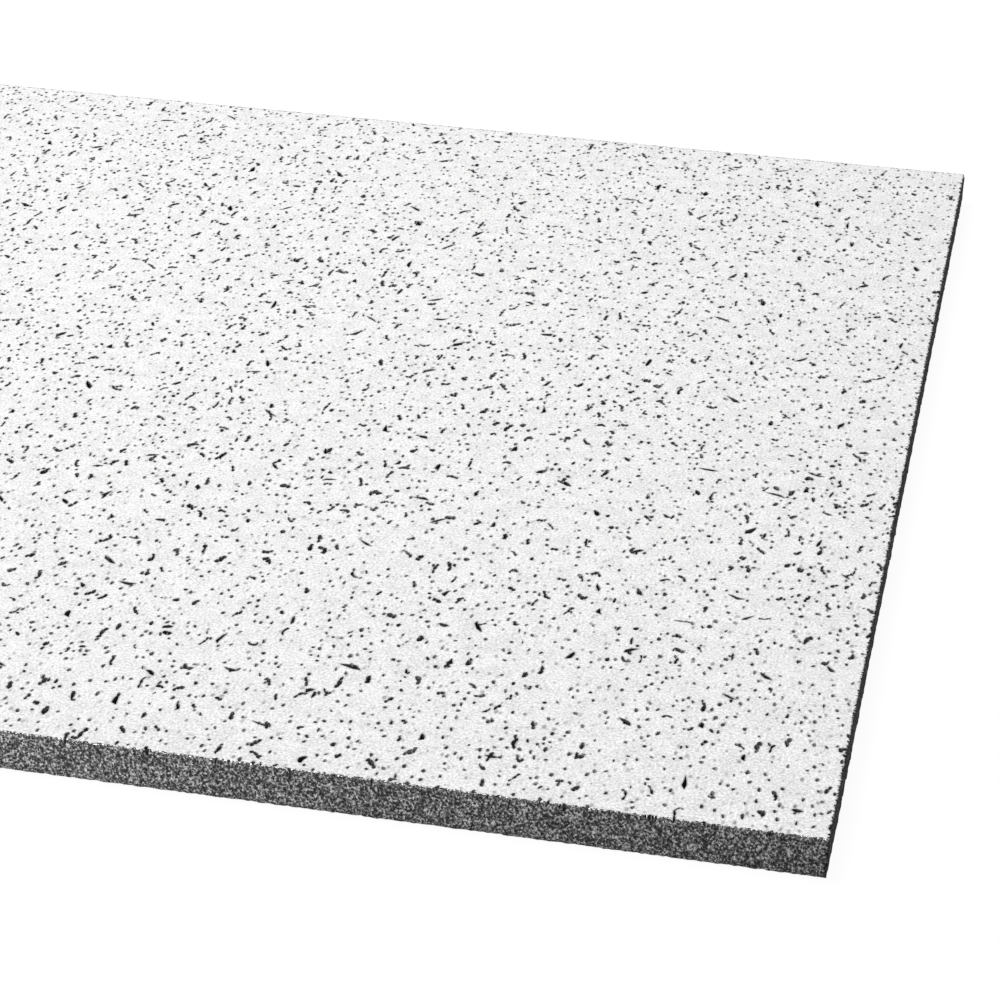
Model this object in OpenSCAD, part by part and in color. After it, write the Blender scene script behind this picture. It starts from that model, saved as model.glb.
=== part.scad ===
// Suspended ceiling tile: a square-edged lay-in board of wet-felted mineral fibre for a 600 mm grid.
// The board lies face up. The origin is the middle of its back, and +Z points out of the painted face.
// The boards are sawn from a wide felted sheet, so the face pattern runs off all four edges.

/* [Board] */
// Width of the board, along X
board_w = 595; // [295:5:1195]
// Length of the board, along Y
board_l = 595; // [295:5:1195]
// Thickness of the board
board_t = 15; // [10:0.5:25]

/* [Face pattern] */
// Spacing of the square cells that the sheet is ruled in, with one mark in each cell
cell = 26; // [20:1:60]
// Share of the cells that hold a fissure, the other cells hold a pinhole
fissure_share = 0.6; // [0.1:0.05:0.9]
// Seed of the pattern, each value gives another sheet
pattern_seed = 41; // [1:1:999]

/* [Fissures] */
// Length of the shortest fissure
fissure_min_l = 4; // [3:0.5:6]
// Length of the longest fissure
fissure_max_l = 9; // [7:0.5:15]
// Width of the narrowest fissure at its middle
fissure_min_w = 1.1; // [0.8:0.1:1.5]
// Width of the widest fissure at its middle
fissure_max_w = 2.1; // [1.6:0.1:4]
// Furthest that a fissure bows away from the line between its ends
fissure_bow = 1; // [0:0.1:2]
// How unevenly a fissure's rim is torn: 0 is smooth, and at 1 it may close up
fissure_tear = 0.45; // [0:0.05:0.8]
// Depth of the shallowest fissure
fissure_min_depth = 2; // [1:0.5:3]
// Depth of the deepest fissure
fissure_max_depth = 5; // [3:0.5:7]
// Direction that most fissures lean to, from +X
fissure_lean = 105; // [0:5:180]
// Furthest that a fissure turns to either side of that direction
fissure_spread = 100; // [0:5:180]

/* [Pinholes] */
// Diameter of the smallest pinhole
pinhole_min_d = 1.2; // [0.6:0.1:1.6]
// Diameter of the largest pinhole
pinhole_max_d = 1.8; // [1.6:0.1:3]
// Depth of the needle stroke that makes a pinhole
pinhole_depth = 6; // [2:0.5:8]

/* [Hidden] */

// Cells along X and Y: one more than the board needs, so that the outer ones run off its edges
cells_x = ceil(board_w / cell) + 1;
cells_y = ceil(board_l / cell) + 1;

// Random numbers that each cell draws from, named in the order they are used
draws = 14;
KIND = 0;
ALONG_X = 1;
ALONG_Y = 2;
TURN_A = 3;
TURN_B = 4;
LONG = 5;
WIDE = 6;
BOWED = 7;
STATION = 8;
RIM = 10;
sheet = rands(0, 1, cells_x * cells_y * draws, pattern_seed);

// Waist of a fissure: how far each of its two stations lies from the middle, for each unit of length,
// and the width and bow at the second station for each unit of those at the first
station_share = 0.2;
second_width = 0.8;
second_bow = 0.6;

// Sides of a pinhole, which the fibre leaves angular
pinhole_sides = 5;
// Reach of a cutting tool above the face
overcut = 1;

// Number that cell (i, j) draws for one of the named uses
function draw(i, j, use) = sheet[(j * cells_x + i) * draws + use];

// Value between low and high at the share t
function between(low, high, t) = low + (high - low) * t;

// Size of the mark in cell (i, j): length and width of a fissure, or diameter of a pinhole
function is_fissure(i, j) = draw(i, j, KIND) < fissure_share;
function fissure_l(i, j) = between(fissure_min_l, fissure_max_l, pow(draw(i, j, LONG), 2));
function fissure_w(i, j) = between(fissure_min_w, fissure_max_w, draw(i, j, WIDE));
function pinhole_d(i, j) = between(pinhole_min_d, pinhole_max_d, draw(i, j, WIDE));

// Play of a mark inside its cell, so that two neighbours never meet
function reach(i, j) = is_fissure(i, j) ? fissure_l(i, j) + fissure_w(i, j) : pinhole_d(i, j);
function play(i, j) = max(0, cell - reach(i, j));

// Middle of cell (i, j) from the middle of the board: every other row is moved on by half a cell
function cell_x(i, j) = (i - (cells_x - 1) / 2 + (j % 2) / 2 - 1 / 4) * cell;
function cell_y(j) = (j - (cells_y - 1) / 2) * cell;

// Turn of the fissure in cell (i, j): the mean of two draws, so that most lie near the lean
function fissure_turn(i, j) = fissure_lean
    + fissure_spread * (draw(i, j, TURN_A) + draw(i, j, TURN_B) - 1);

// Factor by which a torn rim departs from its smooth line, from the draw for one use
function torn(i, j, use) = 1 + fissure_tear * (2 * draw(i, j, use) - 1);

// Fissure seen from above: two pointed ends, and a torn waist of two stations that bows to one side
module fissure_outline(i, j) {
    length = fissure_l(i, j);
    end = length / 2;
    first = -length * station_share * torn(i, j, STATION);
    second = length * station_share * torn(i, j, STATION + 1);
    half = fissure_w(i, j) / 2;
    bow = fissure_bow * (2 * draw(i, j, BOWED) - 1);
    polygon([
        [-end, 0],
        [first, bow - half * torn(i, j, RIM)],
        [second, bow * second_bow - half * second_width * torn(i, j, RIM + 1)],
        [end, 0],
        [second, bow * second_bow + half * second_width * torn(i, j, RIM + 2)],
        [first, bow + half * torn(i, j, RIM + 3)]
    ]);
}

// Pocket that the felting leaves in the face
module fissure(i, j) {
    depth = between(fissure_min_depth, fissure_max_depth, draw(i, j, LONG));
    rotate(fissure_turn(i, j))
        translate([0, 0, -depth])
            linear_extrude(depth + overcut)
                fissure_outline(i, j);
}

// Hole that a needle punches in the face
module pinhole(i, j) {
    rotate(360 * draw(i, j, TURN_A))
        translate([0, 0, -pinhole_depth])
            cylinder(h = pinhole_depth + overcut, d = pinhole_d(i, j), $fn = pinhole_sides);
}

// Everything that is cut into the face, one mark in each cell
module face_pattern() {
    for (j = [0 : cells_y - 1], i = [0 : cells_x - 1]) {
        x = cell_x(i, j) + play(i, j) * (draw(i, j, ALONG_X) - 0.5);
        y = cell_y(j) + play(i, j) * (draw(i, j, ALONG_Y) - 0.5);
        translate([x, y, board_t]) {
            if (is_fissure(i, j)) {
                fissure(i, j);
            } else {
                pinhole(i, j);
            }
        }
    }
}

// The board, back down, with its face pattern
module tile() {
    color("whitesmoke")
        difference() {
            translate([-board_w / 2, -board_l / 2, 0])
                cube([board_w, board_l, board_t]);
            face_pattern();
        }
}

tile();
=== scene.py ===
"""Lay-in ceiling board of felted mineral fibre: white face with fissures and pinholes, raw grey sides."""
import math

import bpy
import numpy as np
from bpy.props import FloatProperty, FloatVectorProperty, IntProperty, PointerProperty
from mathutils import Matrix, Vector


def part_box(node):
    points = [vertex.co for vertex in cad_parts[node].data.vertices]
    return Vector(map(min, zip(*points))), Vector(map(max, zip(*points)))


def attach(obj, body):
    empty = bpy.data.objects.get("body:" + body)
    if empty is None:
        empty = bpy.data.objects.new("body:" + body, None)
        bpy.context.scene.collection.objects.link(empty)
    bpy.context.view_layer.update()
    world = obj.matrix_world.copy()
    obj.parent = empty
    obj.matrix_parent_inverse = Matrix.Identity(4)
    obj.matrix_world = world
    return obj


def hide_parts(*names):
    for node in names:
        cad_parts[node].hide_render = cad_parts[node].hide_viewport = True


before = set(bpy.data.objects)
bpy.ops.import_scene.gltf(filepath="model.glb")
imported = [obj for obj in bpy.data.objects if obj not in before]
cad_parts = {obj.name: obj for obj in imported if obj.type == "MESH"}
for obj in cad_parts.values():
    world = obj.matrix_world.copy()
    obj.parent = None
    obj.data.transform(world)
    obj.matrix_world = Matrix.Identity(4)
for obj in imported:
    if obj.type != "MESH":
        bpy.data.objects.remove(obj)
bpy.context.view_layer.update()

bl_info = {
    "name": "Ceiling tile",
    "version": (1, 0, 0),
    "blender": (4, 5, 0),
    "location": "3D View > Sidebar > Ceiling tile",
    "description": "Builds a fissured mineral fibre ceiling board and a plain studio round it",
    "category": "Object",
}

BOARD_LOW, BOARD_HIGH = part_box("tile")
BOARD_SIZE = BOARD_HIGH - BOARD_LOW

# The new face lies this far under the source's face, so that no two cutting faces coincide
FACE_SKIN = 0.00002
# The sawn sides start and end this far beyond the face and the back, which trim them
SAW_PROUD = 0.0001
# Cells along each side of the face, so that no single polygon holds too many marks
FACE_CELLS = 20
# Points closer than this to a side or to the face count as lying on it
TOUCH = 0.0001
# How far the pierced area runs past the sides, so that the saw cuts through some of the marks
OVERRUN = 0.003
# Share of a mark's cutting solid that stands above the face
TOOL_PROUD = 0.15
# Name of the faces' attribute that tells a pinhole from the rest
NEEDLED = "needled"
# A loose shell with fewer faces than this is a scrap
SCRAP_FACES = 1000
# Vertices of the source's mesh closer than this are one
WELD = 1e-6
# Corners of a fissure's trunk, of a bead, and of a pinhole or chip
TRUNK_SIDES = 7
BEAD_SIDES = 6
PINHOLE_SIDES = 5
# Draws for a fissure's size are raised to this power, so that small fissures outnumber large ones
SMALL_BIAS = 1.5
# Where a bead starts on its trunk, and how far it stands ahead of that place, as shares of their lengths
BEAD_START = 0.36
BEAD_AHEAD = 0.35
# Least and greatest width and depth of a bead, as shares of its trunk's
BEAD_WIDTHS = (0.7, 1.05)
BEAD_DEPTHS = (0.5, 1.0)

# Ranges of noise that are stretched from 0 to 1: narrow ones give hard patches, wide ones soft patches
SAW_NOISE = (0.3, 0.7)
CRUMB_NOISE = (0.4, 0.75)
GRAIN_NOISE = (0.33, 0.67)
CLUMP_NOISE = (0.3, 0.7)
JITTER_NOISE = (0.25, 0.75)
MIST_NOISE = (0.3, 0.65)
# Size of the clumps in the paint's stipple, in grains, and their share of the pattern
STIPPLE_CLUMP = 6.0
STIPPLE_CLUMP_SHARE = 0.25
# Share of the clumps in the raw fibre's pattern
FIBRE_CLUMP_SHARE = 0.15
# Grain is raised to this power, so that dark fibre outweighs pale fibre
FIBRE_BIAS = 2.6
# Least paint blown into a mark, as a share of the most, and the power by which it thins with depth
MIST_LEAST = 0.25
MIST_FADE = 1.5
# Distances from a side between which the blown paint comes in
SAWN_BELT = (0.001, 0.003)
# Share of a point's surroundings that is board where the paint is thinnest
RIM_SOLID = 0.5

WHITE = (1.0, 1.0, 1.0, 1.0)
# Half the width of the floor, and how far it lies under the board
FLOOR_HALF = 4.0
FLOOR_DROP = 0.0004
# Places and sizes of the broad lamp overhead and of the low lamp that lights the front
KEY_PLACE = (-0.5, 0.1, 1.95)
KEY_SIZE = (1.4, 1.4)
LOW_PLACE = (-0.75, -0.85, BOARD_SIZE.z / 2.0)
LOW_SIZE = (0.3, BOARD_SIZE.z / 2.0)
SENSOR_WIDTH = 36.0


def size_of(name, description, default):
    """A length in metres."""
    return FloatProperty(
        name=name,
        description=description,
        default=default,
        min=0.0,
        precision=5,
        unit="LENGTH",
        subtype="DISTANCE",
    )


def number_of(name, description, default, unit="NONE"):
    """A plain number, or one with a unit."""
    return FloatProperty(name=name, description=description, default=default, unit=unit)


def seed_of(name, description, default):
    """The start of a row of random draws."""
    return IntProperty(name=name, description=description, default=default)


def share_of(name, description, default):
    """A share from 0 to 1."""
    return FloatProperty(
        name=name, description=description, default=default, min=0.0, max=1.0, subtype="FACTOR"
    )


def colour_of(name, description, default):
    """A linear colour."""
    return FloatVectorProperty(
        name=name, description=description, default=default, size=3, min=0.0, max=1.0, subtype="COLOR"
    )


def angle_of(name, description, degrees):
    """An angle, given in degrees and kept in radians."""
    return FloatProperty(
        name=name,
        description=description,
        default=math.radians(degrees),
        unit="ROTATION",
        subtype="ANGLE",
    )


class BoardSizes(bpy.types.PropertyGroup):
    """The felted board and its sawn sides."""
    width: size_of("Board width", "Size along X", BOARD_SIZE.x)
    length: size_of("Board length", "Size along Y", BOARD_SIZE.y)
    thickness: size_of("Board thickness", "Size along Z", BOARD_SIZE.z)
    saw_inset: size_of("Saw inset", "How far the sides stand inside the nominal outline", 0.0001)
    edge_step: size_of("Edge step", "Spacing of the points along the sides", 0.0014)
    edge_rows: IntProperty(name="Edge rows", description="Rows of points up a side", default=5, min=2)
    saw_bite: size_of("Saw bite", "Deepest tear that the saw leaves in a side", 0.00045)
    saw_grain: size_of("Saw grain", "Size of those tears", 0.003)
    arris_bite: size_of("Arris bite", "How far the upper and lower edges crumble", 0.0011)
    arris_grain: size_of("Arris grain", "Size of the crumbs lost there", 0.0025)
    chip_gap: size_of("Chip gap", "Mean distance between the chips along the face's edges", 0.0035)
    chip_min: size_of("Chip least size", "Width of the smallest chip", 0.0006)
    chip_max: size_of("Chip greatest size", "Width of the largest chip", 0.0018)


class FissureSizes(bpy.types.PropertyGroup):
    """The torn marks of the face. Sizes are those before the wet sheet is drawn out along Y."""
    sheet_draw: number_of("Sheet draw", "How far the pierced sheet is drawn out along Y", 1.7)
    fissure_gap: size_of("Fissure gap", "Least distance between two fissures' middles", 0.0045)
    fissure_count: number_of("Fissure count", "Fissures tried per square metre", 9300.0)
    fissure_min_l: size_of("Fissure least length", "Length of the shortest trunk", 0.0016)
    fissure_max_l: size_of("Fissure greatest length", "Length of the longest trunk", 0.0033)
    fissure_min_w: size_of("Fissure least width", "Width of the narrowest", 0.0012)
    fissure_max_w: size_of("Fissure greatest width", "Width of the widest", 0.0023)
    fissure_min_d: size_of("Fissure least depth", "Depth of the shallowest", 0.0025)
    fissure_max_d: size_of("Fissure greatest depth", "Depth of the deepest", 0.0055)
    bead_share: share_of("Bead share", "Share of a fissure's ends that run on in a bead", 0.5)
    bead_bend: angle_of("Bead bend", "Sharpest bend between trunk and bead", 80.0)
    bead_min_l: size_of("Bead least length", "Length of the shortest bead", 0.0013)
    bead_max_l: size_of("Bead greatest length", "Length of the longest bead", 0.0026)
    wander: size_of("Wander", "How far a mark bends out of true", 0.0025)
    wander_size: size_of("Wander size", "Length over which it bends", 0.005)
    ragged: size_of("Raggedness", "How far a mark's rim is torn", 0.0015)
    ragged_size: size_of("Raggedness size", "Size of those tears", 0.0016)
    fissure_seed: seed_of("Fissure seed", "Start of the fissures' random draws", 31)


class PinholeSizes(bpy.types.PropertyGroup):
    """The needle holes between the fissures, before the sheet is drawn out."""
    pinhole_gap: size_of("Pinhole gap", "Least distance between two pinholes", 0.00205)
    pinhole_count: number_of("Pinhole count", "Pinholes tried per square metre", 48000.0)
    pinhole_min_w: size_of("Pinhole least width", "Width of the narrowest", 0.0012)
    pinhole_max_w: size_of("Pinhole greatest width", "Width of the widest", 0.0017)
    pinhole_drag: size_of("Pinhole drag", "Most that a pinhole is longer than wide", 0.0005)
    pinhole_min_d: size_of("Pinhole least depth", "Depth of the shallowest", 0.0008)
    pinhole_max_d: size_of("Pinhole greatest depth", "Depth of the deepest", 0.0040)
    pinhole_seed: seed_of("Pinhole seed", "Start of the pinholes' random draws", 11)


class BoardFinish(bpy.types.PropertyGroup):
    """Colour and grain of the painted face and of the raw fibre."""
    paint: colour_of("Paint", "The white face", (0.97, 0.97, 0.968))
    # Painted shade: a darker copy of the paint, for the dips of the stipple and for paint that has run or
    # blown into the marks
    shaded_paint: colour_of("Paint shade", "The face in the dips of its stipple", (0.54, 0.54, 0.538))
    thin_paint: colour_of("Thin paint", "The face where fibre shows through", (0.30, 0.30, 0.298))
    stipple: size_of("Stipple", "Size of the paint's grain", 0.0010)
    stipple_rise: size_of("Stipple rise", "Height of that grain", 0.0002)
    dent_gap: size_of("Dent gap", "Mean distance between the shallow dents", 0.0036)
    dent_width: size_of("Dent width", "Width of the widest dent", 0.0019)
    dent_tear: size_of("Dent tear", "How unevenly a dent's rim runs", 0.0008)
    dent_draw: number_of("Dent draw", "How far the dents are drawn out along Y", 1.7)
    rim_thin: size_of("Thin rim", "How far from a mark's rim the paint is thin", 0.0008)
    rim_wear: size_of("Rim wear", "How far the paint is rubbed off along the face's edges", 0.0010)
    paint_run: size_of("Paint run", "How far the paint has run down over a rim", 0.0003)
    fissure_mist: share_of("Fissure mist", "Most paint that has blown into a fissure", 0.5)
    pinhole_mist: share_of("Pinhole mist", "Most paint that has blown into a pinhole", 1.0)
    mist_reach: size_of("Mist reach", "Depth at which that paint ends", 0.0019)
    mist_patch: size_of("Mist patch", "Distance from a misted pit to a bare one", 0.006)
    mist_saw: share_of("Mist left by the saw", "Share of it on the sides, which are sawn later", 0.12)
    fibre_light: colour_of("Light fibre", "The palest grains of the raw board", (0.19, 0.19, 0.1895))
    fibre_dark: colour_of("Dark fibre", "The darkest grains of the raw board", (0.004, 0.004, 0.0041))
    fibre_grain: size_of("Fibre grain", "Size of the grains", 0.0008)
    fibre_clump: size_of("Fibre clump", "Size of the clumps of grains", 0.0030)
    fibre_rise: size_of("Fibre rise", "Height of the grains", 0.0003)


class StudioSettings(bpy.types.PropertyGroup):
    """Floor, lamps and camera."""
    floor: colour_of("Floor", "The pale floor", (0.70, 0.70, 0.70))
    floor_glow: share_of("Floor glow", "Share of the floor's white that no shadow takes away", 0.9)
    floor_white: number_of("Floor white", "Level of that white", 1.05)
    fill_left: number_of("Fill left", "Level of the room's light from the left", 0.55)
    fill_right: number_of("Fill right", "Level of the room's light from the right", 0.15)
    key: number_of("Key", "Power of the broad lamp overhead", 40.5, "POWER")
    low: number_of("Low lamp", "Power of the lamp that lights the front", 53.0, "POWER")
    camera_place: FloatVectorProperty(
        name="Camera place",
        description="Where the camera stands",
        default=(0.351459, -1.132548, 0.574138),
        unit="LENGTH",
        subtype="TRANSLATION",
        precision=5,
    )
    camera_yaw: angle_of("Camera yaw", "Turn to the right of straight along Y", -11.188)
    camera_pitch: angle_of("Camera pitch", "Tilt below the horizon", 27.803)
    camera_roll: angle_of("Camera roll", "Turn about the line of sight", -1.252)
    camera_lens: number_of("Camera lens", "Focal length in millimetres", 110.99)


class NodeBench:
    """Adds nodes to a tree and links what is fed to them."""

    def __init__(self, tree):
        self.tree = tree

    def add(self, kind, inputs=None, **settings):
        """A new node, with its settings made and its inputs fed."""
        node = self.tree.nodes.new(kind)
        for name, value in settings.items():
            setattr(node, name, value)
        for name, value in (inputs or {}).items():
            self.feed(node.inputs[name], value)
        return node

    def feed(self, socket, value):
        """Link a socket, or each of a list of sockets, or set a plain value."""
        for source in value if isinstance(value, list) else [value]:
            if isinstance(source, bpy.types.NodeSocket):
                self.tree.links.new(source, socket)
            else:
                socket.default_value = source

    def math(self, operation, *values):
        """A sum on numbers."""
        return self.add("ShaderNodeMath", dict(enumerate(values)), operation=operation).outputs[0]

    def vector(self, operation, *values):
        """A sum on vectors."""
        return self.add("ShaderNodeVectorMath", dict(enumerate(values)), operation=operation).outputs[0]

    def scaled(self, vector, factor):
        """A vector times a number."""
        fed = {0: vector, "Scale": factor}
        return self.add("ShaderNodeVectorMath", fed, operation="SCALE").outputs[0]

    def xyz(self, x, y, z):
        """Three numbers as a vector."""
        return self.add("ShaderNodeCombineXYZ", {0: x, 1: y, 2: z}).outputs[0]

    def parts(self, vector):
        """A vector as three numbers."""
        return self.add("ShaderNodeSeparateXYZ", {0: vector}).outputs

    def stretch(self, value, low, high, new_low=0.0, new_high=1.0):
        """A value moved from one range to another and held inside it."""
        spans = {"Value": value, 1: low, 2: high, 3: new_low, 4: new_high}
        return self.add("ShaderNodeMapRange", spans, clamp=True).outputs["Result"]

    def noise(self, where, size, detail=1.0):
        """Smooth noise whose features are about as large as size."""
        scale = self.math("DIVIDE", 1.0, size)
        return self.add("ShaderNodeTexNoise", {"Vector": where, "Scale": scale, "Detail": detail})

    def random(self, low, high, seed):
        """A number drawn for each point."""
        drawn = {2: low, 3: high, "Seed": seed}
        return self.add("FunctionNodeRandomValue", drawn, data_type="FLOAT").outputs[1]


def sawn_slab(bench, size):
    """The board before its face is pierced: a closed solid with torn sides and crumbled edges."""
    inset = bench.math("MULTIPLY", 2.0, size["Saw inset"])
    across = bench.math("SUBTRACT", size["Board width"], inset)
    along = bench.math("SUBTRACT", size["Board length"], inset)
    height = bench.math("SUBTRACT", size["Board thickness"], FACE_SKIN)
    outline = bench.add(
        "GeometryNodeCurvePrimitiveQuadrilateral", {"Width": across, "Height": along}, mode="RECTANGLE"
    )
    cuts = bench.math("DIVIDE", size["Board width"], size["Edge step"])
    outline = bench.add("GeometryNodeSubdivideCurve", {"Curve": outline.outputs[0], "Cuts": cuts})
    top = bench.xyz(0.0, 0.0, bench.math("ADD", height, SAW_PROUD))
    rail = bench.add("GeometryNodeCurvePrimitiveLine", {"Start": (0.0, 0.0, -SAW_PROUD), "End": top})
    spaced = {"Curve": rail.outputs[0], "Count": size["Edge rows"]}
    rows = bench.add("GeometryNodeResampleCurve", spaced)
    sawn = bench.add(
        "GeometryNodeCurveToMesh",
        {"Curve": rows.outputs[0], "Profile Curve": outline.outputs[0], "Fill Caps": True},
    )

    where = bench.add("GeometryNodeInputPosition").outputs[0]
    x, y, z = bench.parts(where)
    half_across = bench.math("SUBTRACT", bench.math("DIVIDE", across, 2.0), TOUCH)
    half_along = bench.math("SUBTRACT", bench.math("DIVIDE", along, 2.0), TOUCH)
    on_x = bench.math("GREATER_THAN", bench.math("ABSOLUTE", x), half_across)
    on_y = bench.math("GREATER_THAN", bench.math("ABSOLUTE", y), half_along)
    over_face = bench.math("GREATER_THAN", z, height)
    under_back = bench.math("LESS_THAN", z, 0.0)
    torn = bench.stretch(bench.noise(where, size["Saw grain"], 3.0).outputs[0], *SAW_NOISE)
    crumbled = bench.stretch(bench.noise(where, size["Arris grain"], 4.0).outputs[0], *CRUMB_NOISE)
    edge = bench.math("MULTIPLY", bench.math("ADD", over_face, under_back), size["Arris bite"])
    bite = bench.math("MULTIPLY_ADD", torn, size["Saw bite"], bench.math("MULTIPLY", crumbled, edge))
    move_x = bench.math("MULTIPLY", bench.math("MULTIPLY", bench.math("SIGN", x), on_x), bite)
    move_y = bench.math("MULTIPLY", bench.math("MULTIPLY", bench.math("SIGN", y), on_y), bite)
    # The rows crowd towards the two edges, where the crumbs are
    rise = bench.math("ADD", height, 2.0 * SAW_PROUD)
    share = bench.math("DIVIDE", bench.math("ADD", z, SAW_PROUD), rise)
    swing = bench.math("COSINE", bench.math("MULTIPLY", math.pi, share))
    row = bench.math("MULTIPLY_ADD", rise, bench.math("MULTIPLY_ADD", swing, -0.5, 0.5), -SAW_PROUD)
    place = bench.xyz(bench.math("SUBTRACT", x, move_x), bench.math("SUBTRACT", y, move_y), row)
    sawn = bench.add("GeometryNodeSetPosition", {"Geometry": sawn.outputs[0], "Position": place})

    trim = bench.add(
        "GeometryNodeMeshCube",
        {
            "Size": bench.xyz(size["Board width"], size["Board length"], height),
            "Vertices X": FACE_CELLS + 1,
            "Vertices Y": FACE_CELLS + 1,
        },
    )
    lift = bench.xyz(0.0, 0.0, bench.math("DIVIDE", height, 2.0))
    trim = bench.add("GeometryNodeTransform", {"Geometry": trim.outputs[0], "Translation": lift})
    return bench.add(
        "GeometryNodeMeshBoolean",
        {"Mesh 2": [sawn.outputs[0], trim.outputs[0]]},
        operation="INTERSECT",
        solver="MANIFOLD",
    ).outputs[0]


def source_marks(bench, size, source):
    """The source's pockets as solids: what its board leaves of a block that stands over its back."""
    block_size = bench.vector(
        "ADD",
        bench.xyz(size["Board width"], size["Board length"], size["Board thickness"]),
        (OVERRUN, OVERRUN, 0.0),
    )
    block = bench.add("GeometryNodeMeshCube", {"Size": block_size})
    lift = bench.xyz(0.0, 0.0, bench.math("MULTIPLY_ADD", size["Board thickness"], 0.5, OVERRUN))
    block = bench.add("GeometryNodeTransform", {"Geometry": block.outputs[0], "Translation": lift})
    board = bench.add("GeometryNodeMergeByDistance", {"Geometry": source, "Distance": WELD})
    return bench.add(
        "GeometryNodeMeshBoolean",
        {"Mesh 1": block.outputs[0], "Mesh 2": [board.outputs[0]]},
        operation="DIFFERENCE",
        solver="MANIFOLD",
    ).outputs[0]


def mark_tool(bench, sides, ahead=0.0):
    """A cutting cone, one unit long, wide and deep, with its point down, moved ahead along its length."""
    cone = bench.add(
        "GeometryNodeMeshCone",
        {"Vertices": sides, "Radius Top": 0.5, "Radius Bottom": 0.0, "Depth": 1.0},
        fill_type="NGON",
    )
    moved = {"Geometry": cone.outputs[0], "Translation": (ahead, 0.0, TOOL_PROUD - 1.0)}
    return bench.add("GeometryNodeTransform", moved).outputs[0]


def scattered(bench, sheet, gap, count, seed):
    """Points strewn over the sheet, no two closer than the gap."""
    strewn = {"Mesh": sheet, "Distance Min": gap, "Density Max": count, "Seed": seed}
    points = bench.add("GeometryNodeDistributePointsOnFaces", strewn, distribute_method="POISSON")
    return points.outputs[0]


def cut_marks(bench, points, tool, turn, sizes, chosen=True):
    """One cutting solid on each chosen point."""
    rotation = bench.add("FunctionNodeEulerToRotation", {0: bench.xyz(0.0, 0.0, turn)})
    placed = bench.add(
        "GeometryNodeInstanceOnPoints",
        {
            "Points": points,
            "Selection": chosen,
            "Instance": tool,
            "Rotation": rotation.outputs[0],
            "Scale": bench.xyz(*sizes),
        },
    )
    return bench.add("GeometryNodeRealizeInstances", {"Geometry": placed.outputs[0]}).outputs[0]


def tear(bench, size, marks):
    """Bend the marks out of true and tear their rims, with upright walls kept upright."""
    flat = bench.vector("MULTIPLY", bench.add("GeometryNodeInputPosition").outputs[0], (1.0, 1.0, 0.0))
    bent = bench.noise(flat, size["Wander size"]).outputs["Color"]
    torn = bench.noise(flat, size["Raggedness size"]).outputs["Color"]
    level = (0.5, 0.5, 0.0)
    bent = bench.scaled(bench.vector("SUBTRACT", bent, level), size["Wander"])
    torn = bench.scaled(bench.vector("SUBTRACT", torn, level), size["Raggedness"])
    shift = bench.vector("MULTIPLY", bench.vector("ADD", bent, torn), (1.0, 1.0, 0.0))
    return bench.add("GeometryNodeSetPosition", {"Geometry": marks, "Offset": shift}).outputs[0]


def fissure_layers(bench, size, sheet):
    """The fissures' trunks, and the bent beads that run on from one end or the other of some."""
    def draw(step, low=0.0, high=1.0):
        return bench.random(low, high, bench.math("ADD", size["Fissure seed"], step))

    def mostly_small(step, least, greatest):
        spare = bench.math("SUBTRACT", size[greatest], size[least])
        return bench.math("MULTIPLY_ADD", bench.math("POWER", draw(step), SMALL_BIAS), spare, size[least])

    points = scattered(bench, sheet, size["Fissure gap"], size["Fissure count"], size["Fissure seed"])
    length = mostly_small(1, "Fissure least length", "Fissure greatest length")
    width = mostly_small(2, "Fissure least width", "Fissure greatest width")
    depth = draw(3, size["Fissure least depth"], size["Fissure greatest depth"])
    turn = draw(4, 0.0, math.tau)
    layers = [cut_marks(bench, points, mark_tool(bench, TRUNK_SIDES), turn, (length, width, depth))]
    for end, step in ((1.0, 5), (-1.0, 10)):
        tip = bench.math("MULTIPLY", length, BEAD_START * end)
        tip_x = bench.math("MULTIPLY", tip, bench.math("COSINE", turn))
        tip_y = bench.math("MULTIPLY", tip, bench.math("SINE", turn))
        moved = {"Geometry": points, "Offset": bench.xyz(tip_x, tip_y, 0.0)}
        tips = bench.add("GeometryNodeSetPosition", moved).outputs[0]
        chosen = bench.math("LESS_THAN", draw(step), size["Bead share"])
        bead_turn = bench.math("MULTIPLY_ADD", draw(step + 1, -1.0, 1.0), size["Bead bend"], turn)
        bead_length = draw(step + 2, size["Bead least length"], size["Bead greatest length"])
        bead_width = bench.math("MULTIPLY", width, draw(step + 3, *BEAD_WIDTHS))
        bead_depth = bench.math("MULTIPLY", depth, draw(step + 4, *BEAD_DEPTHS))
        bead = mark_tool(bench, BEAD_SIDES, BEAD_AHEAD * end)
        sizes = (bead_length, bead_width, bead_depth)
        layers.append(cut_marks(bench, tips, bead, bead_turn, sizes, chosen))
    return layers


def pinhole_layer(bench, size, sheet):
    """The needle holes."""
    def draw(step, low, high):
        return bench.random(low, high, bench.math("ADD", size["Pinhole seed"], step))

    points = scattered(bench, sheet, size["Pinhole gap"], size["Pinhole count"], size["Pinhole seed"])
    width = draw(1, size["Pinhole least width"], size["Pinhole greatest width"])
    length = bench.math("ADD", width, draw(2, 0.0, size["Pinhole drag"]))
    depth = draw(3, size["Pinhole least depth"], size["Pinhole greatest depth"])
    turn = draw(4, 0.0, math.tau)
    return cut_marks(bench, points, mark_tool(bench, PINHOLE_SIDES), turn, (length, width, depth))


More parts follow.
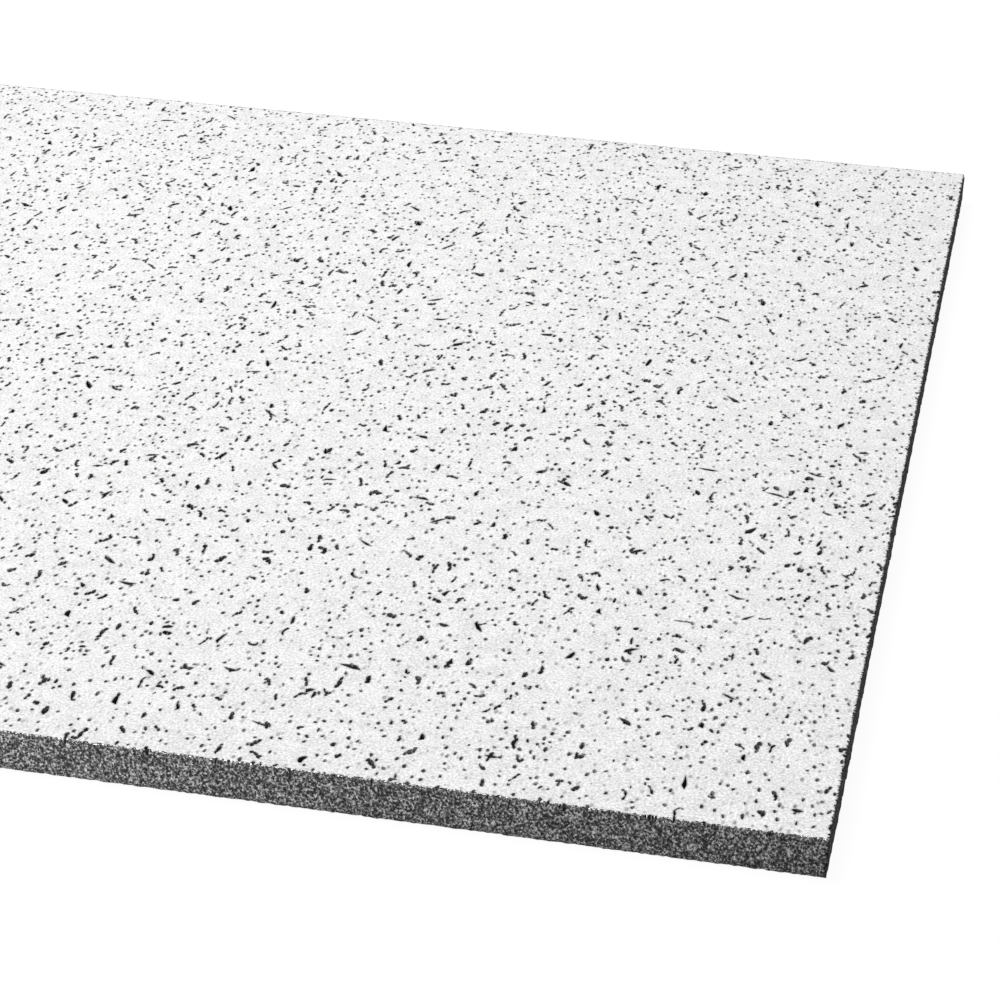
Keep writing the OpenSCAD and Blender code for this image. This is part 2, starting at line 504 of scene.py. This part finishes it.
def chip_layer(bench, size):
    """Small chips along the edges of the face."""
    def draw(step, low, high):
        return bench.random(low, high, bench.math("ADD", size["Pinhole seed"], step))

    outline = bench.add(
        "GeometryNodeCurvePrimitiveQuadrilateral",
        {"Width": size["Board width"], "Height": size["Board length"]},
        mode="RECTANGLE",
    )
    steps = {"Curve": outline.outputs[0], "Length": size["Chip gap"]}
    spaced = bench.add("GeometryNodeCurveToPoints", steps, mode="LENGTH")
    half_gap = bench.math("DIVIDE", size["Chip gap"], 2.0)
    astray = draw(11, bench.math("MULTIPLY", half_gap, -1.0), half_gap)
    along = bench.scaled(spaced.outputs["Tangent"], astray)
    place = bench.vector("ADD", along, bench.xyz(0.0, 0.0, size["Board thickness"]))
    moved = {"Geometry": spaced.outputs["Points"], "Offset": place}
    points = bench.add("GeometryNodeSetPosition", moved).outputs[0]
    sizes = [draw(step, size["Chip least size"], size["Chip greatest size"]) for step in (12, 13, 14)]
    return cut_marks(bench, points, mark_tool(bench, PINHOLE_SIDES), draw(15, 0.0, math.tau), sizes)


def without_scraps(bench, board):
    """The board without the loose scraps that the cutting leaves, each of a few faces."""
    shell = bench.add("GeometryNodeInputMeshIsland").outputs["Island Index"]
    faces = bench.add("GeometryNodeAccumulateField", {"Value": 1.0, "Group ID": shell}, domain="FACE")
    loose = bench.math("LESS_THAN", faces.outputs["Total"], SCRAP_FACES)
    dropped = {"Geometry": board, "Selection": loose}
    return bench.add("GeometryNodeDeleteGeometry", dropped, domain="FACE").outputs[0]


def felted_board_tree(groups):
    """The node tree of the whole board. Its inputs are the groups' sizes and the three finishes."""
    tree = bpy.data.node_groups.new("felted_board", "GeometryNodeTree")
    tree.interface.new_socket("Source", in_out="INPUT", socket_type="NodeSocketGeometry")
    kinds = {"FLOAT": "NodeSocketFloat", "INT": "NodeSocketInt"}
    for group in groups:
        for key in group.__annotations__:
            prop = group.bl_rna.properties[key]
            tree.interface.new_socket(prop.name, in_out="INPUT", socket_type=kinds[prop.type])
    for name in ("Paint finish", "Fibre finish", "Needle finish"):
        tree.interface.new_socket(name, in_out="INPUT", socket_type="NodeSocketMaterial")
    tree.interface.new_socket("Board", in_out="OUTPUT", socket_type="NodeSocketGeometry")

    bench = NodeBench(tree)
    size = bench.add("NodeGroupInput").outputs

    across = bench.math("ADD", size["Board width"], 2.0 * OVERRUN)
    along = bench.math("ADD", size["Board length"], 2.0 * OVERRUN)
    along = bench.math("DIVIDE", along, size["Sheet draw"])
    spread = {"Size X": across, "Size Y": along, "Vertices X": 2, "Vertices Y": 2}
    sheet = bench.add("GeometryNodeMeshGrid", spread).outputs[0]
    lift = bench.xyz(0.0, 0.0, size["Board thickness"])
    sheet = bench.add("GeometryNodeTransform", {"Geometry": sheet, "Translation": lift}).outputs[0]

    marks = [source_marks(bench, size, size["Source"]), tear(bench, size, chip_layer(bench, size))]
    layers = {layer: False for layer in fissure_layers(bench, size, sheet)}
    layers[pinhole_layer(bench, size, sheet)] = True
    for layer, needled in layers.items():
        torn = {"Geometry": tear(bench, size, layer), "Scale": bench.xyz(1.0, size["Sheet draw"], 1.0)}
        drawn_out = bench.add("GeometryNodeTransform", torn).outputs[0]
        kind = {"Geometry": drawn_out, "Name": NEEDLED, "Value": needled}
        told = bench.add("GeometryNodeStoreNamedAttribute", kind, data_type="BOOLEAN", domain="FACE")
        marks.append(told.outputs[0])
    board = bench.add(
        "GeometryNodeMeshBoolean",
        {"Mesh 1": sawn_slab(bench, size), "Mesh 2": marks},
        operation="DIFFERENCE",
        solver="MANIFOLD",
    )
    board = without_scraps(bench, board.outputs[0])
    board = bench.add("GeometryNodeRealizeInstances", {"Geometry": board}).outputs[0]
    high = bench.parts(bench.add("GeometryNodeInputPosition").outputs[0])[2]
    faced = bench.math("GREATER_THAN", high, bench.math("SUBTRACT", size["Board thickness"], TOUCH))
    pierced = bench.add("GeometryNodeInputNamedAttribute", {"Name": NEEDLED}, data_type="BOOLEAN")
    pierced = pierced.outputs[0]
    for finish, chosen in (("Fibre finish", True), ("Needle finish", pierced), ("Paint finish", faced)):
        coat = {"Geometry": board, "Selection": chosen, "Material": size[finish]}
        board = bench.add("GeometryNodeSetMaterial", coat).outputs[0]
    bench.add("NodeGroupOutput", {"Board": board})
    return tree


def felt_grain_group():
    """Shader group: the grain of felted fibre, fine grains over coarser clumps."""
    group = bpy.data.node_groups.new("felt_grain", "ShaderNodeTree")
    group.interface.new_socket("Place", in_out="INPUT", socket_type="NodeSocketVector")
    group.interface.new_socket("Grain size", in_out="INPUT", socket_type="NodeSocketFloat")
    group.interface.new_socket("Clump size", in_out="INPUT", socket_type="NodeSocketFloat")
    group.interface.new_socket("Clump share", in_out="INPUT", socket_type="NodeSocketFloat")
    group.interface.new_socket("Grain", in_out="OUTPUT", socket_type="NodeSocketFloat")
    bench = NodeBench(group)
    given = bench.add("NodeGroupInput").outputs
    fine = bench.stretch(bench.noise(given["Place"], given["Grain size"], 2.0).outputs[0], *GRAIN_NOISE)
    clump = bench.stretch(bench.noise(given["Place"], given["Clump size"], 2.0).outputs[0], *CLUMP_NOISE)
    weighed = bench.math("MULTIPLY", bench.math("SUBTRACT", clump, fine), given["Clump share"])
    bench.add("NodeGroupOutput", {"Grain": bench.math("ADD", fine, weighed)})
    return group


def new_material(name):
    """A material with an empty tree, its bench, and its Object coordinates."""
    material = bpy.data.materials.new(name)
    material.use_nodes = True
    material.node_tree.nodes.clear()
    bench = NodeBench(material.node_tree)
    return material, bench, bench.add("ShaderNodeTexCoord").outputs["Object"]


def grain_of(bench, group, place, grain, clump, share):
    """The felt grain at these sizes."""
    node = bench.add("ShaderNodeGroup", node_tree=group)
    values = {"Place": place, "Grain size": grain, "Clump size": clump, "Clump share": share}
    for name, value in values.items():
        bench.feed(node.inputs[name], value)
    return node.outputs["Grain"]


def blend(bench, factor, first, second):
    """One colour mixed into another."""
    mix = bench.add("ShaderNodeMix", data_type="RGBA")
    bench.feed(mix.inputs[0], factor)
    bench.feed(mix.inputs[6], first)
    bench.feed(mix.inputs[7], second)
    return mix.outputs[2]


def opaque(colour):
    """A colour with its alpha."""
    return (*colour, 1.0)


def from_rim(bench, place):
    """Distance inwards from the nearest side of the nominal outline."""
    x, y, _ = bench.parts(place)
    from_x = bench.math("SUBTRACT", BOARD_SIZE.x / 2.0, bench.math("ABSOLUTE", x))
    from_y = bench.math("SUBTRACT", BOARD_SIZE.y / 2.0, bench.math("ABSOLUTE", y))
    return bench.math("MINIMUM", from_x, from_y)


def jitter(bench, place, size, reach):
    """Smooth noise between minus reach and reach."""
    level = bench.stretch(bench.noise(place, size).outputs[0], *JITTER_NOISE, -1.0, 1.0)
    return bench.math("MULTIPLY", level, reach)


def dent_mask(bench, place, finish):
    """How deep the shallow dents of the face are: uneven dots of many depths, in some places none."""
    sheet = bench.vector("DIVIDE", place, (1.0, finish.dent_draw, 1.0))
    drift = bench.noise(sheet, finish.dent_width).outputs["Color"]
    drift = bench.vector("SUBTRACT", drift, (0.5, 0.5, 0.5))
    torn = bench.vector("ADD", sheet, bench.scaled(drift, finish.dent_tear))
    strewn = {"Vector": torn, "Scale": 1.0 / finish.dent_gap}
    dots = bench.add("ShaderNodeTexVoronoi", strewn, voronoi_dimensions="2D")
    wide, deep, _ = bench.parts(dots.outputs["Color"])
    rim = bench.stretch(wide, 0.0, 1.0, 0.25 * finish.dent_width, 0.5 * finish.dent_width)
    off = bench.math("MULTIPLY", dots.outputs["Distance"], finish.dent_gap)
    soft = bench.stretch(bench.math("SUBTRACT", rim, off), 0.0, 0.25 * finish.dent_width)
    return bench.math("MULTIPLY", soft, bench.stretch(deep, 0.25, 1.0))


def near_marks(bench, finish):
    """1 at the rim of a mark and 0 where the paint is whole, by how much board is missing nearby."""
    solid = bench.add(
        "ShaderNodeAmbientOcclusion",
        {"Distance": finish.rim_thin},
        inside=True,
        only_local=True,
        samples=8,
    )
    return bench.stretch(solid.outputs["AO"], RIM_SOLID, 1.0, 1.0, 0.0)


def paint_material(finish, grain_group):
    """White emulsion over felt: stippled, with painted shade in the stipple's dips, thin in dents and
    round marks, rubbed off along the edges.
    """
    material, bench, place = new_material("white_face_paint")
    clump = STIPPLE_CLUMP * finish.stipple
    stipple = grain_of(bench, grain_group, place, finish.stipple, clump, STIPPLE_CLUMP_SHARE)
    # Painted shade: the stipple's dips take a darker copy of the paint in place of the shade of their
    # relief
    colour = blend(bench, stipple, opaque(finish.shaded_paint), opaque(finish.paint))
    dents = dent_mask(bench, place, finish)
    colour = blend(bench, dents, colour, opaque(finish.thin_paint))
    colour = blend(bench, near_marks(bench, finish), colour, opaque(finish.thin_paint))
    uneven = jitter(bench, place, finish.stipple, finish.rim_wear)
    ragged = bench.math("ADD", from_rim(bench, place), uneven)
    worn = bench.stretch(ragged, 0.5 * finish.rim_wear, finish.rim_wear, 1.0, 0.0)
    colour = blend(bench, worn, colour, opaque(finish.fibre_dark))
    height = bench.math("SUBTRACT", stipple, dents)
    relief = {"Height": height, "Strength": 1.0, "Distance": finish.stipple_rise}
    bump = bench.add("ShaderNodeBump", relief)
    shader = bench.add(
        "ShaderNodeBsdfPrincipled",
        {"Base Color": colour, "Roughness": 0.85, "Specular IOR Level": 0.2, "Normal": bump.outputs[0]},
    )
    bench.add("ShaderNodeOutputMaterial", {"Surface": shader.outputs[0]})
    return material


def fibre_material(name, finish, grain_group, most_mist):
    """Raw felted fibre: dark and pale grains, with paint that has run and blown in over the rims, given
    the darker copy of the paint as painted shade.
    """
    material, bench, place = new_material(name)
    grain = grain_of(bench, grain_group, place, finish.fibre_grain, finish.fibre_clump, FIBRE_CLUMP_SHARE)
    pale = bench.math("POWER", grain, FIBRE_BIAS)
    colour = blend(bench, pale, opaque(finish.fibre_dark), opaque(finish.fibre_light))
    depth = bench.math("SUBTRACT", BOARD_HIGH.z, bench.parts(place)[2])
    ragged = bench.math("SUBTRACT", depth, jitter(bench, place, finish.stipple, finish.paint_run))
    run = bench.stretch(ragged, 0.0, 0.5 * finish.paint_run, 1.0, 0.0)
    patch = bench.noise(place, finish.mist_patch).outputs[0]
    blown = bench.stretch(patch, *MIST_NOISE, MIST_LEAST * most_mist, most_mist)
    kept = bench.stretch(from_rim(bench, place), *SAWN_BELT, finish.mist_saw, 1.0)
    faded = bench.math("POWER", bench.stretch(depth, 0.0, finish.mist_reach, 1.0, 0.0), MIST_FADE)
    mist = bench.math("MULTIPLY", bench.math("MULTIPLY", blown, kept), faded)
    # The paint that has run and blown into the marks is real; its grey is painted shade, the darker copy
    # of the paint
    colour = blend(bench, bench.math("MAXIMUM", run, mist), colour, opaque(finish.shaded_paint))
    relief = {"Height": grain, "Strength": 1.0, "Distance": finish.fibre_rise}
    bump = bench.add("ShaderNodeBump", relief)
    shader = bench.add(
        "ShaderNodeBsdfPrincipled",
        {"Base Color": colour, "Roughness": 0.95, "Specular IOR Level": 0.1, "Normal": bump.outputs[0]},
    )
    bench.add("ShaderNodeOutputMaterial", {"Surface": shader.outputs[0]})
    return material


def set_tree_inputs(modifier, values):
    """Set a node tree's inputs by identifier, before its object is first evaluated."""
    for item in modifier.node_group.interface.items_tree:
        if item.in_out == "INPUT" and item.name in values:
            modifier[item.identifier] = values[item.name]


def plain_mesh(name, source_mesh, tree, values):
    """What the tree makes of a mesh, as a plain mesh."""
    carrier = bpy.data.objects.new(name + "_carrier", source_mesh.copy())
    carrier.data.materials.clear()
    bpy.context.collection.objects.link(carrier)
    modifier = carrier.modifiers.new("felted_board", "NODES")
    modifier.node_group = tree
    set_tree_inputs(modifier, values)
    depsgraph = bpy.context.evaluated_depsgraph_get()
    mesh = bpy.data.meshes.new_from_object(carrier.evaluated_get(depsgraph), depsgraph=depsgraph)
    carrier.modifiers.remove(modifier)
    bpy.data.objects.remove(carrier)
    mesh.name = name
    drop_empty_slot(mesh)
    for spent in ("id", NEEDLED, "custom_normal"):
        mesh.attributes.remove(mesh.attributes[spent])
    return mesh


def drop_empty_slot(mesh):
    """Take away the empty first material slot that the node tree leaves."""
    kept = list(mesh.materials)[1:]
    slots = np.empty(len(mesh.polygons), dtype=np.int32)
    mesh.polygons.foreach_get("material_index", slots)
    mesh.materials.clear()
    for material in kept:
        mesh.materials.append(material)
    mesh.polygons.foreach_set("material_index", slots - 1)


class CEILINGTILE_OT_board(bpy.types.Operator):
    """Build the felted board with its pierced face, in the place of the source's board"""
    bl_idname = "ceiling_tile.board"
    bl_label = "Felted board"

    def execute(self, context):
        scene = context.scene
        groups = (scene.tile_board, scene.tile_fissures, scene.tile_pinholes)
        values = {}
        for group in groups:
            for key in group.__annotations__:
                values[group.bl_rna.properties[key].name] = getattr(group, key)
        grain = felt_grain_group()
        finish = scene.tile_finish
        values["Paint finish"] = paint_material(finish, grain)
        values["Fibre finish"] = fibre_material("raw_fibre", finish, grain, finish.fissure_mist)
        values["Needle finish"] = fibre_material("misted_fibre", finish, grain, finish.pinhole_mist)
        tree = felted_board_tree(groups)
        mesh = plain_mesh("ceiling_board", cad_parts["tile"].data, tree, values)
        board = bpy.data.objects.new("ceiling_board", mesh)
        context.collection.objects.link(board)
        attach(board, "root")
        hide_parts("tile")
        return {"FINISHED"}


class CEILINGTILE_OT_studio(bpy.types.Operator):
    """Lay the pale floor, hang the lamps and set up the camera"""
    bl_idname = "ceiling_tile.studio"
    bl_label = "Studio"

    def execute(self, context):
        studio = context.scene.tile_studio
        lay_floor(context, studio)
        light_room(context, studio)
        hang_lamp(context, "key_lamp", KEY_PLACE, KEY_SIZE, studio.key)
        hang_lamp(context, "low_lamp", LOW_PLACE, LOW_SIZE, studio.low)
        set_up_camera(context, studio)
        context.scene.view_settings.view_transform = "Standard"
        return {"FINISHED"}


def seen_directly(bench):
    """1 for what the camera sees, also in a mirror or through glass, and 0 for light on its way."""
    path = bench.add("ShaderNodeLightPath").outputs
    direct = bench.math("MAXIMUM", path["Is Camera Ray"], path["Is Glossy Ray"])
    return bench.math("MAXIMUM", direct, path["Is Transmission Ray"])


def lay_floor(context, studio):
    """A wide pale floor just under the board, which keeps a soft shadow and is clear from below."""
    signs = ((-1, -1), (1, -1), (1, 1), (-1, 1))
    corners = [(x * FLOOR_HALF, y * FLOOR_HALF, -FLOOR_DROP) for x, y in signs]
    mesh = bpy.data.meshes.new("studio_floor")
    mesh.from_pydata(corners, [], [(0, 1, 2, 3)])
    floor = bpy.data.objects.new("studio_floor", mesh)
    context.collection.objects.link(floor)

    material, bench, _ = new_material("pale_floor")
    matte = bench.add("ShaderNodeBsdfDiffuse", {"Color": opaque(studio.floor)})
    white = bench.add("ShaderNodeEmission", {"Color": WHITE, "Strength": studio.floor_white})
    glow = bench.math("MULTIPLY", seen_directly(bench), studio.floor_glow)
    lit = bench.add("ShaderNodeMixShader", {0: glow, 1: matte.outputs[0], 2: white.outputs[0]})
    clear = bench.add("ShaderNodeBsdfTransparent")
    below = bench.add("ShaderNodeNewGeometry").outputs["Backfacing"]
    both = bench.add("ShaderNodeMixShader", {0: below, 1: lit.outputs[0], 2: clear.outputs[0]})
    bench.add("ShaderNodeOutputMaterial", {"Surface": both.outputs[0]})
    mesh.materials.append(material)


def light_room(context, studio):
    """Soft light from all round, weaker from the right, with a white background behind it."""
    world = bpy.data.worlds.new("studio")
    world.use_nodes = True
    world.node_tree.nodes.clear()
    bench = NodeBench(world.node_tree)
    aside = bench.parts(bench.add("ShaderNodeTexCoord").outputs["Generated"])[0]
    level = bench.stretch(aside, -1.0, 1.0, studio.fill_left, studio.fill_right)
    fill = bench.add("ShaderNodeBackground", {"Color": WHITE, "Strength": level})
    white = bench.add("ShaderNodeBackground", {"Color": WHITE, "Strength": 1.0})
    shown = {0: seen_directly(bench), 1: fill.outputs[0], 2: white.outputs[0]}
    seen = bench.add("ShaderNodeMixShader", shown)
    bench.add("ShaderNodeOutputWorld", {"Surface": seen.outputs[0]})
    context.scene.world = world


def hang_lamp(context, name, place, size, power):
    """A flat soft lamp that faces the middle of the board and isn't seen itself."""
    lamp = bpy.data.lights.new(name, "AREA")
    lamp.shape = "ELLIPSE"
    lamp.size, lamp.size_y = size
    lamp.energy = power
    hung = bpy.data.objects.new(name, lamp)
    place = Vector(place)
    aim = Vector((0.0, 0.0, BOARD_SIZE.z / 2.0)) - place
    hung.matrix_world = Matrix.Translation(place) @ aim.to_track_quat("-Z", "Y").to_matrix().to_4x4()
    hung.visible_camera = False
    context.collection.objects.link(hung)


def set_up_camera(context, studio):
    """The camera, aimed by its yaw, pitch and roll."""
    yaw, pitch, roll = studio.camera_yaw, studio.camera_pitch, studio.camera_roll
    forward = Vector(
        (math.sin(yaw) * math.cos(pitch), math.cos(yaw) * math.cos(pitch), -math.sin(pitch))
    )
    level = Vector((math.cos(yaw), -math.sin(yaw), 0.0))
    down = forward.cross(level)
    right = level * math.cos(roll) + down * math.sin(roll)
    up = level * math.sin(roll) - down * math.cos(roll)
    data = bpy.data.cameras.new("camera")
    data.lens = studio.camera_lens
    data.sensor_width = SENSOR_WIDTH
    camera = bpy.data.objects.new("camera", data)
    turn = Matrix((right, up, -forward)).transposed().to_4x4()
    camera.matrix_world = Matrix.Translation(studio.camera_place) @ turn
    context.collection.objects.link(camera)
    context.scene.camera = camera


class CEILINGTILE_PT_panel(bpy.types.Panel):
    """The board's sizes and finishes, and the steps that build it"""
    bl_idname = "CEILINGTILE_PT_panel"
    bl_label = "Ceiling tile"
    bl_space_type = "VIEW_3D"
    bl_region_type = "UI"
    bl_category = "Ceiling tile"

    def draw(self, context):
        for name in GROUPS:
            group = getattr(context.scene, name)
            box = self.layout.box()
            for key in group.__annotations__:
                box.prop(group, key)
        for operator in OPERATORS:
            self.layout.operator(operator.bl_idname)


GROUPS = {
    "tile_board": BoardSizes,
    "tile_fissures": FissureSizes,
    "tile_pinholes": PinholeSizes,
    "tile_finish": BoardFinish,
    "tile_studio": StudioSettings,
}
OPERATORS = (CEILINGTILE_OT_board, CEILINGTILE_OT_studio)
CLASSES = (*GROUPS.values(), *OPERATORS, CEILINGTILE_PT_panel)


def register():
    """Register the classes and hang the settings on the scene."""
    for each in CLASSES:
        bpy.utils.register_class(each)
    for name, group in GROUPS.items():
        setattr(bpy.types.Scene, name, PointerProperty(type=group))


def unregister():
    """Take the settings and the classes away again."""
    for name in GROUPS:
        delattr(bpy.types.Scene, name)
    for each in reversed(CLASSES):
        bpy.utils.unregister_class(each)


def main():
    """Build the board, then the studio."""
    register()
    bpy.ops.ceiling_tile.board()
    bpy.ops.ceiling_tile.studio()


if __name__ == "__main__":
    main()
